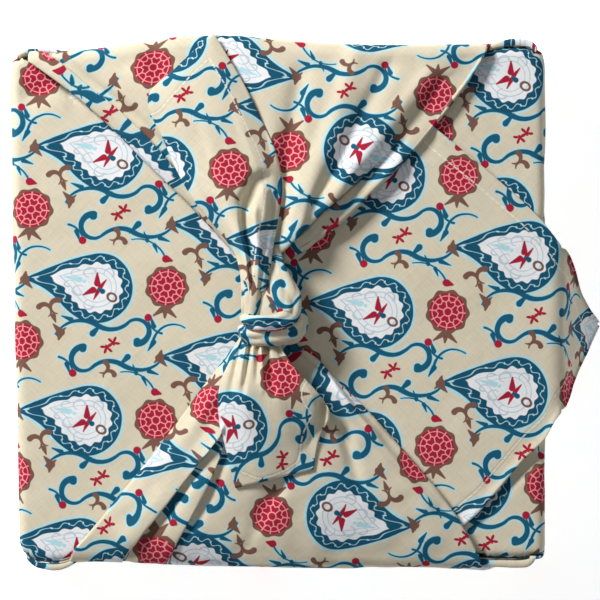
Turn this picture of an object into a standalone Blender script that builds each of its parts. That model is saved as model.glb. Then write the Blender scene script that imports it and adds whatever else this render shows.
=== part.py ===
"""Furoshiki parcel: one square cloth folded round a thin square box and tied in a reef knot.

The cloth lies diamond-wise under the parcel.  Its right corner is folded over first, its left
corner over that with the point hanging past the right edge, and then the far and near corners
are gathered to a reef knot whose two tails lie back over them.  All of it is one sheet, so it
is one closed body.  Sizes below are in millimetres, +X right, +Y away, +Z up; the origin is the
centre of the flat underside.
"""
import math
from collections import namedtuple

import bpy
import numpy as np
from mathutils.bvhtree import BVHTree

MM = 0.001

# ---- driving sizes ---------------------------------------------------------------------------
SHEET = 1.2            # modelled thickness of the cloth
LAYER_GAP = 0.6        # air left between two layers that lie on each other
LAYER = SHEET + LAYER_GAP
HALF_X = 130.2         # middle of the side walls' sheet
LEFT_TOP = 50.2        # height of the left flap, which lies on the right one
RIGHT_TOP = LEFT_TOP - LAYER
EDGE_ROUND = 5.0       # rounding of the parcel's long edges
UNDERSIDE = SHEET / 2  # middle of the sheet under the parcel
FOOT_X, FOOT_Y = 108.0, 101.0        # within these the cloth sags towards what it lies on
SAG = 1.0              # the rest of the underside is this much higher
FOOT_ARCH = 0.2        # the cloth touches at the four corners of the foot, and arches between them
RIM = UNDERSIDE + SAG
END_WALL_Y = 127.4     # outer layer of an end wall
END_WALL_FOOT = 121.0  # half its width at the bottom
END_WALL_ROLL = LAYER / 2
END_ROUND = 6.0        # its turn on to the parcel's top
END_WALL_START = 108.0 # its cloth starts this far out, in the underside's sheet
END_WALL_LAP = 0.3     # and lies this much above the middle of the underside's rim
END_WALL_STEP = 24.0
POCKET_Y = END_WALL_Y - 2 * LAYER   # the ear behind it, whose rim is the mouth of a pocket
POCKET_OPENS = 2.2     # the rim stands out this much more near the corner
EAR_REACH = 66.0       # it reaches in to this x
EAR_SIDE = 20.0        # and this far along the side wall, which it is one with
EAR_ROUND = 3.0
EAR_DIPS = 0.2         # its rim drops by this share round the corner
EAR_HEIGHTS = (RIM + 0.5, 16.0, 32.0, LEFT_TOP - 6.0, LEFT_TOP - 1.6)
EAR_OPENS_AT = (90.0, 112.0, 124.0, 130.8)   # across the ear: the places where its rim stands
EAR_OPENS_BY = (0.0, 1.0, 0.6, 0.0)          # out, as shares of POCKET_OPENS
PANEL_Y = POCKET_Y - LAYER  # the side flaps turn down here, inside the end walls
SKEW_Y = 0.0175        # the right side is this much longer than the left one, per half width
SKEW_X = 0.019         # the left side leans this much

# ---- left flap: hem lines running to the hanging corner --------------------------------------
OVERHANG = 56.0        # cloth past the right edge
TIP_Y = -11.0
TIP_HALF_WIDTH = 2.6
HEM_CLEAR_X = 100.0    # past this x the left flap covers no end of the right one
HEM_MEETS_FLANGE = (18.0, 84.0)     # between these x the hem lines cut off its turned-down ends
COLUMN_STEP = 2.0      # least space between places across the band
# longest step on each straight of the band
BAND_STEPS = (40.0, 26.0, 50.0, FOOT_X, 50.0, 26.0, 36.0, 7.0, 26.0, 20.0)
UPPER_HEM_SLOPE = 0.885
LOWER_HEM_SLOPE = 0.965
HANG_START = 137.5     # the flap stays level up to this x, then bends down
HANG_ANGLE = math.radians(71)
HANG_ROUND = 9.0

RIGHT_FLAP_REACH = 232.0   # the right flap ends here, out of sight below the left one
FLANGE = 22.0          # at its ends each side flap turns down this far inside the end wall
FLANGE_ROUND = 3.0
FLANGE_MITRE = 0.62    # the turned-in cloth narrows towards the parcel's corners

# ---- far and near flaps: one row for each section, from the parcel's edge to the knot --------
Section = namedtuple("Section", "left_x left_y right_x right_y lift roll fold")
FAR_FLAP = (
    Section(-121.0, 122.0, 101.0, 122.0, 0.8, END_WALL_ROLL, 0.25),
    Section(-97.0, 107.0, 92.5, 108.5, 3.0, 1.7, 0.45),
    Section(-81.0, 90.0, 76.0, 87.0, 5.0, 2.2, 0.70),
    Section(-65.0, 73.0, 60.0, 68.5, 6.5, 2.5, 0.90),
    Section(-49.0, 57.0, 43.5, 53.0, 7.5, 2.6, 1.00),
    Section(-34.0, 40.5, 21.0, 35.0, 8.0, 2.5, 0.90),
    Section(-21.5, 25.0, 1.0, 21.0, 7.5, 2.2, 0.60),
    Section(-18.5, 13.0, -5.0, 12.0, 6.0, 1.8, 0.35),
)
NEAR_FLAP = (
    Section(-103.5, -122.0, 98.0, -122.0, 0.8, END_WALL_ROLL, 0.30),
    Section(-95.0, -112.5, 92.0, -110.5, 2.5, 1.7, 0.45),
    Section(-78.0, -92.5, 79.5, -92.0, 4.5, 2.2, 0.70),
    Section(-57.5, -67.5, 57.0, -66.0, 6.5, 2.6, 1.00),
    Section(-42.0, -45.5, 37.0, -45.0, 7.5, 2.6, 1.00),
    Section(-29.0, -28.0, 18.0, -29.0, 7.5, 2.3, 0.70),
    Section(-18.5, -14.0, 6.0, -16.0, 6.0, 1.8, 0.35),
)
UNDERLAP = 7.0         # at each side edge the cloth rolls over and turns back below this far
FULL_UNDERLAP_WIDTH = 60.0          # where the flap is narrower the cloth turns back less
FLAP_CROWN = 2.6       # how flat the middle of a flap stays between its edges

# Folds that run along a flap: place across it at the knot and at the edge, from 0 to 1
Fold = namedtuple("Fold", "at_knot at_edge width height lean")
FAR_FOLDS = (
    Fold(0.10, 0.05, 0.035, -1.6, 0.0),
    Fold(0.30, 0.22, 0.060, 1.2, 0.0),
    Fold(0.53, 0.56, 0.045, -2.2, 0.0),
    Fold(0.66, 0.68, 0.055, 1.8, 0.5),
    Fold(0.80, 0.81, 0.040, -2.0, 0.0),
    Fold(0.90, 0.93, 0.035, 1.2, 0.0),
)
NEAR_FOLDS = (
    Fold(0.09, 0.05, 0.030, -1.5, 0.0),
    Fold(0.23, 0.165, 0.035, 2.6, -1.6),
    Fold(0.29, 0.235, 0.025, -2.2, 0.0),
    Fold(0.38, 0.31, 0.050, 1.4, 0.0),
    Fold(0.50, 0.42, 0.045, -1.6, 0.0),
    Fold(0.66, 0.60, 0.070, 1.6, 0.0),
    Fold(0.90, 0.94, 0.035, -1.4, 0.0),
)

# ---- tails: one row for each section, from the knot to the free end --------------------------
# left and right edge, height of the middle, how far each side drops below it, fold height
Tail = namedtuple("Tail", "left_x left_y right_x right_y height drop_left drop_right fold")
FAR_TAIL = (
    Tail(-18.5, 9.0, -6.5, 9.0, 68.5, 4.0, 4.0, 0.6),
    Tail(-20.5, 27.0, -5.0, 32.0, 71.0, 6.0, 8.0, 2.0),
    Tail(-33.0, 43.0, -1.5, 49.0, 70.5, 6.0, 8.5, 2.4),
    Tail(-43.5, 57.0, 1.5, 66.0, 69.0, 5.0, 8.0, 1.8),
    Tail(-54.0, 76.0, -4.5, 82.0, 67.0, 4.5, 5.5, 1.2),
    Tail(-62.0, 96.0, -12.0, 100.0, 64.5, 3.5, 3.5, 0.8),
    Tail(-55.0, 111.0, -21.5, 113.0, 61.5, 2.0, 2.0, 0.4),
    Tail(-36.0, 130.0, -30.0, 131.0, 58.5, 0.4, 0.4, 0.0),
)
NEAR_TAIL = (
    Tail(-16.0, -9.5, -4.5, -9.5, 66.0, 2.5, 2.5, 0.5),
    Tail(-21.5, -24.0, 6.0, -24.0, 70.0, 5.0, 6.0, 2.2),
    Tail(-28.0, -35.0, 15.0, -31.5, 71.5, 6.0, 7.0, 2.0),
    Tail(-29.5, -48.0, 22.5, -43.0, 71.0, 7.0, 5.5, 1.4),
    Tail(-28.5, -61.0, 23.0, -58.0, 69.0, 6.5, 4.0, 1.0),
    Tail(-26.0, -75.0, 19.5, -71.0, 66.5, 4.5, 4.0, 0.6),
    Tail(-21.0, -88.0, 16.0, -81.0, 64.0, 2.5, 2.0, 0.2),
)
TAIL_ROOT = 0.16       # up to here along its length a tail is still inside the knot
TAIL_GAP = 1.2
TAIL_CROWN = 2.4
ABOVE_ALL = 200.0      # a height above every fold, to measure down from
TailFold = namedtuple("TailFold", "at_knot at_end width height")
FAR_TAIL_FOLDS = (
    TailFold(0.30, 0.22, 0.06, -1.0),
    TailFold(0.68, 0.80, 0.07, -1.4),
    TailFold(0.48, 0.50, 0.10, 0.8),
)
NEAR_TAIL_FOLDS = (
    TailFold(0.16, 0.12, 0.05, -0.9),
    TailFold(0.36, 0.34, 0.05, -1.0),
    TailFold(0.58, 0.60, 0.05, -0.9),
    TailFold(0.80, 0.83, 0.06, -2.6),
)

# ---- knot: each strand is a bunched length of cloth, a row for each station ------------------
Strand = namedtuple("Strand", "x y z wide high")
NECK = (
    Strand(-12.3, 31.0, 66.0, 6.6, 4.2),
    Strand(-12.3, 21.0, 70.0, 7.6, 4.8),
    Strand(-12.0, 10.0, 73.5, 7.8, 5.2),
    Strand(-12.6, 0.0, 74.5, 6.8, 5.2),
    Strand(-13.4, -7.0, 70.5, 5.6, 4.6),
    Strand(-13.4, -13.0, 64.0, 5.0, 4.0),
)
UPPER_BAND = (
    Strand(-1.5, 26.0, 60.5, 4.0, 3.6),
    Strand(0.0, 18.0, 64.5, 5.8, 4.6),
    Strand(2.4, 9.5, 68.0, 7.4, 5.4),
    Strand(4.6, 1.5, 70.5, 7.4, 5.8),
    Strand(4.6, -5.6, 72.0, 4.8, 5.8),
    Strand(-2.0, -8.0, 74.0, 4.3, 5.6),
    Strand(-10.0, -8.0, 74.2, 4.3, 5.4),
    Strand(-15.4, -7.4, 70.0, 4.3, 5.0),
    Strand(-16.4, -6.6, 63.5, 4.2, 4.6),
)
LOWER_BAND = (
    Strand(-16.4, -12.6, 61.0, 4.4, 4.4),
    Strand(-15.2, -14.4, 67.5, 4.1, 4.8),
    Strand(-8.5, -14.8, 71.0, 4.0, 5.2),
    Strand(0.0, -14.6, 70.5, 4.1, 5.4),
    Strand(6.5, -12.8, 67.0, 5.0, 5.4),
    Strand(7.8, -6.4, 61.5, 5.6, 5.0),
    Strand(3.0, 2.0, 58.5, 5.0, 4.2),
)
HEART = Strand(-3.6, 0.6, 64.5, 12.0, 9.0)    # the cloth packed inside the knot
HEART_LENGTH = 15.0
HEART_SEGMENTS, HEART_RINGS = 12, 8
GROOVES = 4
GROOVE_DEPTH = 0.09

# ---- mesh densities --------------------------------------------------------------------------
BAND_PARTS = (0.08, 0.5, 0.92)
FLAP_COLUMNS = 15
FLAP_ROWS = 13
ROLL_STEPS = 3
TAIL_COLUMNS = 13
TAIL_ROWS = 12
STRAND_SIDES = 12
STRAND_STEPS = 14
BEND_STEPS = 3

CLOTH_COLOUR = (0.70, 0.62, 0.47, 1.0)


# ---- small curves ----------------------------------------------------------------------------
def through(rows, places):
    """Points on a smooth curve through a table's rows, at places from 0 to 1."""
    table = np.array(rows, dtype=float)
    spans = len(table) - 1
    ends = np.vstack([2 * table[0] - table[1], table, 2 * table[-1] - table[-2]])
    result = []
    for place in places:
        span = min(int(place * spans), spans - 1)
        t = place * spans - span
        before, start, end, after = ends[span:span + 4]
        result.append(0.5 * (2 * start + (end - before) * t
                             + (2 * before - 5 * start + 4 * end - after) * t ** 2
                             + (3 * (start - end) + after - before) * t ** 3))
    return np.array(result)


def rounded_path(corners, radii, spacings):
    """A path with rounded corners: its points, its directions and its lengths so far."""
    corners = [np.array(corner, dtype=float) for corner in corners]
    points = [corners[0]]

    def straight_to(end, spacing):
        start = points[-1]
        steps = max(1, math.ceil(np.linalg.norm(end - start) / spacing - 1e-6))
        points.extend(start + (end - start) * step / steps for step in range(1, steps + 1))

    for before, corner, after, radius, spacing in zip(corners, corners[1:], corners[2:], radii, spacings):
        way_in = (corner - before) / np.linalg.norm(corner - before)
        way_out = (after - corner) / np.linalg.norm(after - corner)
        turn = math.acos(np.clip(way_in @ way_out, -1, 1))
        straight_to(corner - way_in * radius * math.tan(turn / 2), spacing)
        side = np.array([-way_in[1], way_in[0]])
        if side @ way_out < 0:
            side = -side
        centre = points[-1] + side * radius
        for step in range(1, BEND_STEPS + 1 if radius else 1):
            angle = turn * step / BEND_STEPS
            points.append(centre - side * radius * math.cos(angle) + way_in * radius * math.sin(angle))
    straight_to(corners[-1], spacings[-1])
    points = np.array(points)
    tangents = np.gradient(points, axis=0)
    tangents /= np.linalg.norm(tangents, axis=1)[:, None]
    lengths = np.concatenate([[0], np.cumsum(np.linalg.norm(np.diff(points, axis=0), axis=1))])
    return points, tangents, lengths


def bump(distance, width):
    """A soft ridge of height 1 and the given width."""
    return np.exp(-(distance / width) ** 2)


def lean_parcel(points):
    """The parcel isn't quite square: its right side is longer and its left side leans."""
    x, y = points[..., 0].copy(), points[..., 1].copy()
    points[..., 1] = y * (1 + SKEW_Y * x / HALF_X)
    points[..., 0] = x * (1 + SKEW_X * (y / PANEL_Y) * np.clip(-x / HALF_X, 0, 1))
    return points


# ---- meshes ----------------------------------------------------------------------------------
def add_object(name, points, faces, collection):
    mesh = bpy.data.meshes.new(name)
    mesh.from_pydata((lean_parcel(np.array(points, dtype=float)) * MM).tolist(), [], faces)
    mesh.update()
    piece = bpy.data.objects.new(name, mesh)
    collection.objects.link(piece)
    return piece


def grid_faces(rows, columns):
    return [(i * columns + j, i * columns + j + 1, (i + 1) * columns + j + 1, (i + 1) * columns + j)
            for i in range(rows - 1) for j in range(columns - 1)]


def add_sheet(name, grid, collection):
    """A sheet of cloth on a grid of points, given its thickness by Solidify."""
    piece = add_object(name, grid.reshape(-1, 3), grid_faces(*grid.shape[:2]), collection)
    thickness = piece.modifiers.new("thickness", "SOLIDIFY")
    thickness.thickness = SHEET * MM
    thickness.offset = 0.0
    return piece


# ---- the side flaps: one band from the hidden right flap, round below, to the left flap ------
def side_band():
    """Right flap, right side, underside, left side and left flap, as one folded band."""
    start_x = HALF_X - RIGHT_FLAP_REACH
    fall = OVERHANG - (HANG_START - HALF_X)
    tip = (HANG_START + fall * math.cos(HANG_ANGLE), LEFT_TOP - fall * math.sin(HANG_ANGLE))
    right_side, left_side = ((HALF_X, RIGHT_TOP), (HALF_X, RIM)), ((-HALF_X, RIM), (-HALF_X, LEFT_TOP))
    foot = ((FOOT_X, RIM), (-FOOT_X, RIM))
    crossing = tuple((x, LEFT_TOP) for x in HEM_MEETS_FLANGE)
    corners = ((start_x, RIGHT_TOP),) + right_side + foot + left_side + crossing + ((HANG_START, LEFT_TOP), tip)
    radii = (EDGE_ROUND, EDGE_ROUND, 0.0, 0.0, EDGE_ROUND, EDGE_ROUND, 0.0, 0.0, HANG_ROUND)
    path, tangents, lengths = rounded_path(corners, radii, BAND_STEPS)

    grid = []
    half_way = lengths[-1] / 2
    for (x, z), (tx, tz), length in zip(path, tangents, lengths):
        normal = np.array([-tz, 0.0, tx])          # points out of the parcel
        left_here = lengths[-1] - length            # cloth left up to the hanging corner
        turned_in = FLANGE_MITRE * min(math.hypot(x - cx, z - cz) for cx, cz in right_side + left_side)
        below = z < 2 * RIM
        if below:
            turned_in = 0.0
        reach = PANEL_Y - FLANGE_ROUND + min(FLANGE, turned_in)
        upper = min(reach, TIP_Y + TIP_HALF_WIDTH + UPPER_HEM_SLOPE * left_here)
        lower = min(reach, -TIP_Y + TIP_HALF_WIDTH + LOWER_HEM_SLOPE * left_here)
        nested = 0.0 if length > half_way or x > HEM_CLEAR_X else LAYER
        row = np.array([band_point(x, z, normal, t, nested) for t in band_columns(lower, upper)])
        if below and abs(x) <= FOOT_X:
            at_corner = (abs(x) == FOOT_X) & (np.abs(row[:, 1]) > FOOT_Y / 2)
            sag = np.where(at_corner, SAG, SAG - FOOT_ARCH)
            row[:, 2] -= np.where(np.abs(row[:, 1]) <= FOOT_Y, sag, 0.0)
        grid.append(row)
    return np.array(grid)


def band_columns(lower, upper):
    """Places across the band, with some kept where it turns down at its ends."""
    quarter = FLANGE_ROUND * math.pi / 2
    turn = [PANEL_Y - FLANGE_ROUND + quarter * part for part in (1.0, 0.5, 0.0)]
    ends = []
    step = min(COLUMN_STEP, (lower + upper) / 12)
    for reach in (lower, upper):
        ends.append([reach] + [min(place, reach - step * (i + 1)) for i, place in enumerate(turn)])
    low, high = [-place for place in ends[0]], ends[1]
    between = [low[-1] + (high[-1] - low[-1]) * part for part in BAND_PARTS]
    return low + between + high[::-1]


def band_point(x, z, normal, t, nested):
    """A point at t across the band; past the parcel's ends the cloth turns in."""
    end = PANEL_Y - nested
    side = math.copysign(1.0, t)
    over = abs(t) - (end - FLANGE_ROUND)
    quarter = FLANGE_ROUND * math.pi / 2
    if over <= 0:
        y, drop = abs(t), 0.0
    elif over < quarter:
        y = end - FLANGE_ROUND + FLANGE_ROUND * math.sin(over / FLANGE_ROUND)
        drop = FLANGE_ROUND * (1 - math.cos(over / FLANGE_ROUND))
    else:
        y, drop = end, FLANGE_ROUND + over - quarter
    return [x - normal[0] * drop, side * y, z - normal[2] * drop]


# ---- the far and near flaps ------------------------------------------------------------------
def gathered_flap(sections, folds):
    """An end wall that turns over the parcel's edge and gathers to the knot."""
    away = math.copysign(1.0, sections[0].left_y)
    first = sections[0]
    rest = LEFT_TOP + LAYER + 2 * first.roll
    profile = ((away * END_WALL_START, RIM + END_WALL_LAP), (away * END_WALL_Y, RIM + END_WALL_LAP),
               (away * END_WALL_Y, rest), (first.left_y, rest))
    path, tangents, lengths = rounded_path(profile, (EDGE_ROUND, END_ROUND), (END_WALL_STEP,) * 3)
    grid = []
    for (y, z), (ty, tz), length in list(zip(path, tangents, lengths))[:-2]:
        normal = np.array([0.0, abs(tz) * away, -ty * away])
        risen = np.clip((z - RIM) / (rest - RIM), 0, 1)
        over_edge = np.clip((z - rest + END_ROUND) / END_ROUND, 0, 1)
        row = first._replace(left_x=-END_WALL_FOOT + (first.left_x + END_WALL_FOOT) * risen,
                             right_x=END_WALL_FOOT + (first.right_x - END_WALL_FOOT) * risen,
                             left_y=y, right_y=y, lift=first.lift * over_edge, fold=first.fold * over_edge)
        grid.append(flap_row(row, z, normal, folds, 0.0))
    up = np.array([0.0, 0.0, 1.0])
    for place in np.linspace(0.0, 1.0, FLAP_ROWS):
        row = Section(*through(sections, [place])[0])
        height = LEFT_TOP + LAYER + 2 * row.roll
        grid.append(flap_row(row, height, up, folds, place))
    return np.array(grid)


def flap_row(row, height, normal, folds, place):
    """One line across a flap: a rolled side edge, the folds between, the other rolled edge."""
    left = np.array([row.left_x, row.left_y, height])
    right = np.array([row.right_x, row.right_y, height])
    width = np.linalg.norm(right - left)
    across = (right - left) / width
    edge = rolled_edge(row.roll, UNDERLAP * min(1.0, width / FULL_UNDERLAP_WIDTH))
    line = [left + across * (row.roll - out) - normal * down for out, down in reversed(edge)]
    for share in np.linspace(0.0, 1.0, FLAP_COLUMNS):
        point = left + across * (row.roll + (width - 2 * row.roll) * share)
        crown = row.lift * (1 - abs(2 * share - 1) ** FLAP_CROWN)
        shift = 0.0
        for fold in folds:
            centre = fold.at_edge + (fold.at_knot - fold.at_edge) * place
            ridge = bump(share - centre, fold.width) * row.fold
            crown += ridge * fold.height
            shift += ridge * fold.lean
        line.append(point + normal * crown + across * shift)
    line += [right - across * (row.roll - out) - normal * down for out, down in edge]
    return line


def rolled_edge(radius, underlap):
    """Steps round a side edge: how far out and how far down each lies."""
    angles = [math.pi * step / ROLL_STEPS for step in range(1, ROLL_STEPS + 1)]
    steps = [(radius * math.sin(angle), radius * (1 - math.cos(angle))) for angle in angles]
    return steps + [(-underlap * part, 2 * radius) for part in (0.5, 1.0)]


def pocket_ear(away, side):
    """A corner's spare cloth: from the side wall round the corner to a layer behind the end wall."""
    side_x = HALF_X + SHEET / 2
    corners = ((EAR_REACH, POCKET_Y), (side_x, POCKET_Y), (side_x, POCKET_Y - EAR_SIDE))
    plan = rounded_path(corners, (EAR_ROUND,), (EAR_SIDE, EAR_SIDE))[0]
    grid = []
    for height in EAR_HEIGHTS:
        line = []
        for x, y in plan:
            spread = np.interp(x, EAR_OPENS_AT, EAR_OPENS_BY)
            opens = POCKET_OPENS * (height / LEFT_TOP) ** 2 * spread
            round_corner = np.clip((POCKET_Y - y) / (2 * EAR_ROUND), 0, 1)
            line.append([side * x, away * (y + opens), height * (1 - EAR_DIPS * round_corner)])
        grid.append(line)
    return np.array(grid)


# ---- the tails -------------------------------------------------------------------------------
def tail_sheet(sections, folds, below):
    """A tail spread over the flap below it, one layer's gap clear of it."""
    grid = []
    for place in np.linspace(0.0, 1.0, TAIL_ROWS):
        row = Tail(*through(sections, [place])[0])
        line = []
        for share in np.linspace(0.0, 1.0, TAIL_COLUMNS):
            x = row.left_x + (row.right_x - row.left_x) * share
            y = row.left_y + (row.right_y - row.left_y) * share
            drop = row.drop_left if share < 0.5 else row.drop_right
            z = row.height - max(0.0, drop) * abs(2 * share - 1) ** TAIL_CROWN
            for fold in folds:
                centre = fold.at_knot + (fold.at_end - fold.at_knot) * place
                z += bump(share - centre, fold.width) * fold.height * row.fold
            if place > TAIL_ROOT:
                z = max(z, height_of(below, x, y) + SHEET + TAIL_GAP)
            line.append([x, y, z])
        grid.append(line)
    return np.array(grid)


def surface_of(grid):
    """A flap's surface, to find how high it lies under a point."""
    rows, columns = grid.shape[:2]
    return BVHTree.FromPolygons(grid.reshape(-1, 3).tolist(), grid_faces(rows, columns))


def height_of(surface, x, y):
    hit = surface.ray_cast((x, y, ABOVE_ALL), (0.0, 0.0, -1.0))[0]
    return hit.z if hit else LEFT_TOP


# ---- the knot --------------------------------------------------------------------------------
def add_strand(name, rows, collection):
    """A bunched strand: a tube of uneven, grooved oval sections with closed ends."""
    stations = through(rows, np.linspace(0.0, 1.0, STRAND_STEPS))
    centres = stations[:, :3]
    tangents = np.gradient(centres, axis=0)
    points = []
    across = np.cross([0.0, 0.0, 1.0], tangents[0])
    for station, tangent in zip(stations, tangents):
        tangent = tangent / np.linalg.norm(tangent)
        across = across - tangent * (across @ tangent)
        across /= np.linalg.norm(across)
        over = np.cross(tangent, across)
        for side in range(STRAND_SIDES):
            angle = 2 * math.pi * side / STRAND_SIDES
            groove = 1 - GROOVE_DEPTH * (0.5 + 0.5 * math.cos(GROOVES * angle))
            points.append(station[:3] + across * math.cos(angle) * station[3] * groove
                          + over * math.sin(angle) * station[4] * groove)
    faces = [(i * STRAND_SIDES + j, i * STRAND_SIDES + (j + 1) % STRAND_SIDES,
              (i + 1) * STRAND_SIDES + (j + 1) % STRAND_SIDES, (i + 1) * STRAND_SIDES + j)
             for i in range(STRAND_STEPS - 1) for j in range(STRAND_SIDES)]
    faces.append(tuple(reversed(range(STRAND_SIDES))))
    faces.append(tuple((STRAND_STEPS - 1) * STRAND_SIDES + j for j in range(STRAND_SIDES)))
    return add_object(name, points, faces, collection)


def add_heart(collection):
    bpy.ops.mesh.primitive_uv_sphere_add(segments=HEART_SEGMENTS, ring_count=HEART_RINGS, radius=1.0)
    heart = bpy.context.object
    heart.name = "knot_heart"
    size = np.array([HEART.wide, HEART_LENGTH, HEART.high]) * MM
    for vertex in heart.data.vertices:
        vertex.co = [vertex.co[axis] * size[axis] for axis in range(3)]
    heart.location = (HEART.x * MM, HEART.y * MM, HEART.z * MM)
    for owner in heart.users_collection:
        owner.objects.unlink(heart)
    collection.objects.link(heart)
    return heart


# ---- the whole cloth -------------------------------------------------------------------------
def cloth_material():
    material = bpy.data.materials.new("printed_cotton")
    material.use_nodes = True
    shader = material.node_tree.nodes["Principled BSDF"]
    shader.inputs["Base Color"].default_value = CLOTH_COLOUR
    shader.inputs["Roughness"].default_value = 0.85
    shader.inputs["Metallic"].default_value = 0.0
    return material


def main():
    for old in list(bpy.data.objects):
        bpy.data.objects.remove(old, do_unlink=True)
    parcel = bpy.data.collections.new("furoshiki_parcel")
    joined = bpy.data.collections.new("folds_joined_in")
    for collection in (parcel, joined):
        bpy.context.scene.collection.children.link(collection)

    wrap = add_sheet("wrap_cloth", side_band(), parcel)
    far_flap = gathered_flap(FAR_FLAP, FAR_FOLDS)
    near_flap = gathered_flap(NEAR_FLAP, NEAR_FOLDS)
    far_tail = tail_sheet(FAR_TAIL, FAR_TAIL_FOLDS, surface_of(far_flap))
    near_tail = tail_sheet(NEAR_TAIL, NEAR_TAIL_FOLDS, surface_of(near_flap))
    folds = [add_heart(joined)]
    for name, rows in (("neck", NECK), ("upper_band", UPPER_BAND), ("lower_band", LOWER_BAND)):
        folds.append(add_strand(name, rows, joined))
    for name, grid in (("far_flap", far_flap), ("near_flap", near_flap),
                       ("far_tail", far_tail), ("near_tail", near_tail)):
        folds.append(add_sheet(name, grid, joined))
    for away, side in ((1, -1), (1, 1), (-1, -1), (-1, 1)):
        folds.append(add_sheet(f"pocket_ear_{len(folds)}", pocket_ear(away, side), joined))

    for piece in folds:
        piece.hide_render = True
        piece.display_type = "WIRE"
        union = wrap.modifiers.new(piece.name, "BOOLEAN")
        union.operation = "UNION"
        union.solver = "EXACT"
        union.object = piece
    wrap.data.materials.append(cloth_material())
    wrap.data.shade_smooth()


main()
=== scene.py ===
"""Furoshiki parcel: the printed cloth with its folds, hems and knot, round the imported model.

The cloth is one 70 cm square.  Every patch of it is a grid of points in millimetres (+X right,
+Y away, +Z up, the CAD's own frame) that also knows its place on the flat cloth, so the print,
the weave and the stitched hem follow the folds.
"""
import math
from collections import namedtuple

import bpy
import numpy as np
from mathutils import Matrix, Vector
from mathutils.bvhtree import BVHTree


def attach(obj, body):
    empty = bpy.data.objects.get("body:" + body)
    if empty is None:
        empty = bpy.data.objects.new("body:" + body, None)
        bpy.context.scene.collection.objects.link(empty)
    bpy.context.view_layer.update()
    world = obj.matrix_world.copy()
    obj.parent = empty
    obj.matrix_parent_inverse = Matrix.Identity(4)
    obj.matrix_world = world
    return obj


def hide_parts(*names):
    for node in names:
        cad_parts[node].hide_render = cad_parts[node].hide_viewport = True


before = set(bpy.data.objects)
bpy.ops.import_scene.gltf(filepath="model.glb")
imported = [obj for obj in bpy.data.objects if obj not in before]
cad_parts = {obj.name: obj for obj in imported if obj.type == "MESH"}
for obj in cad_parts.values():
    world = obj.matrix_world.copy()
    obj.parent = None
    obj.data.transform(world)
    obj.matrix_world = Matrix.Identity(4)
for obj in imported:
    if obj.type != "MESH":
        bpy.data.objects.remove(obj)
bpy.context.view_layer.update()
MM = 0.001

# ---- sizes, in millimetres, the same as the solids' where they name the same thing
LAYER = 1.8  # from one layer of cloth to the next
HALF_X = 130.2  # the side walls
LEFT_TOP = 50.2  # height of the left flap, which lies on the right one
RIGHT_TOP = LEFT_TOP - LAYER
RIM = 0.7  # height of the underside
EDGE_ROUND = 5  # rounding of the parcel's long edges
END_WALL_Y = 127.4  # outer layer of an end wall
END_WALL_FOOT = 121  # half its width at the bottom
END_WALL_START = 108  # its cloth starts this far out, under the parcel
END_ROUND = 6  # its turn on to the parcel's top
POCKET_Y = END_WALL_Y - 2 * LAYER  # the ear behind it
PANEL_Y = POCKET_Y - LAYER  # the side flaps turn down here
EAR_REACH = 66  # the ear reaches in to this x
EAR_SIDE = 20  # and this far along the side wall
SKEW_Y, SKEW_X = 0.0175, 0.019  # the right side is longer, and the left side leans, by these shares
OVERHANG = 56  # cloth of the left flap beyond the right wall, as far as its corner
TIP_Y = -9  # that corner's place across the flap
HANG_START, HANG_ANGLE, HANG_ROUND = 137.5, math.radians(62), 9
RIGHT_FLAP_REACH = 232
HEM_CLEAR_X = 60  # to the right of this the left flap is narrower than the one below it
FLANGE, FLANGE_ROUND, FLANGE_MITRE = 22, 3, 0.62  # the cloth that turns in at a side flap's ends
UNDERLAP, FULL_UNDERLAP_WIDTH = 7, 60  # the cloth rolled under a gathered flap's sides
FLAP_CROWN, TAIL_CROWN = 2.6, 2.4  # how square-shouldered their sections are
CLOTH_SIDE = 700
CLOTH_CORNER = CLOTH_SIDE / math.sqrt(2)
HEM_WIDTH = 8  # from the cloth's edge to the stitches
NO_HEM = 99  # the distance to a hem where there is none near

# ---- camera, lights and floor
def add_object(name, data):
    made = bpy.data.objects.new(name, data)
    bpy.context.collection.objects.link(made)
    return made


def feed(slot, value):
    """Sets a node's input, or links a Number or another node's output to it."""
    value = getattr(value, "socket", value)
    if isinstance(value, bpy.types.NodeSocket):
        slot.id_data.links.new(value, slot)
    else:
        slot.default_value = value


def fed(node, **inputs):
    """A node with its inputs fed; a space in an input's name is written _."""
    for name, value in inputs.items():
        feed(node.inputs[name.replace("_", " ")], value)
    return node


VIEW_CENTRE = (0.0098, 0.0029)
CAMERA_HEIGHT = 1.55
FRAME_WIDTH = 0.294  # of the picture, at the parcel's top, in metres
SENSOR_WIDTH = 36
camera_data = bpy.data.cameras.new("camera")
camera = add_object("camera", camera_data)
camera.location = (*VIEW_CENTRE, CAMERA_HEIGHT)
camera_data.sensor_width = SENSOR_WIDTH
camera_data.lens = SENSOR_WIDTH * (CAMERA_HEIGHT - LEFT_TOP * MM) / FRAME_WIDTH
camera_data.clip_end = 20
bpy.context.scene.camera = camera

LIGHTS_AIM = Vector((0, 0, 0.03))
Lamp = namedtuple("Lamp", "name place size watts colour")
LAMPS = (
    Lamp("key_light", (-0.88, 0.88, 0.86), 0.34, 28.2, (1, 0.99, 0.975)),
    Lamp("fill_light", (0.9, -0.5, 1.5), 1.6, 2.2, (0.94, 0.97, 1)),
    Lamp("top_light", (0, 0.1, 2.2), 1.8, 4, (1, 1, 1)),
)
for lamp in LAMPS:
    light_data = bpy.data.lights.new(lamp.name, "AREA")
    light_data.size, light_data.energy, light_data.color = lamp.size, lamp.watts, lamp.colour
    light = add_object(lamp.name, light_data)
    light.location = lamp.place
    light.rotation_euler = (LIGHTS_AIM - light.location).to_track_quat("-Z", "Y").to_euler()

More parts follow.
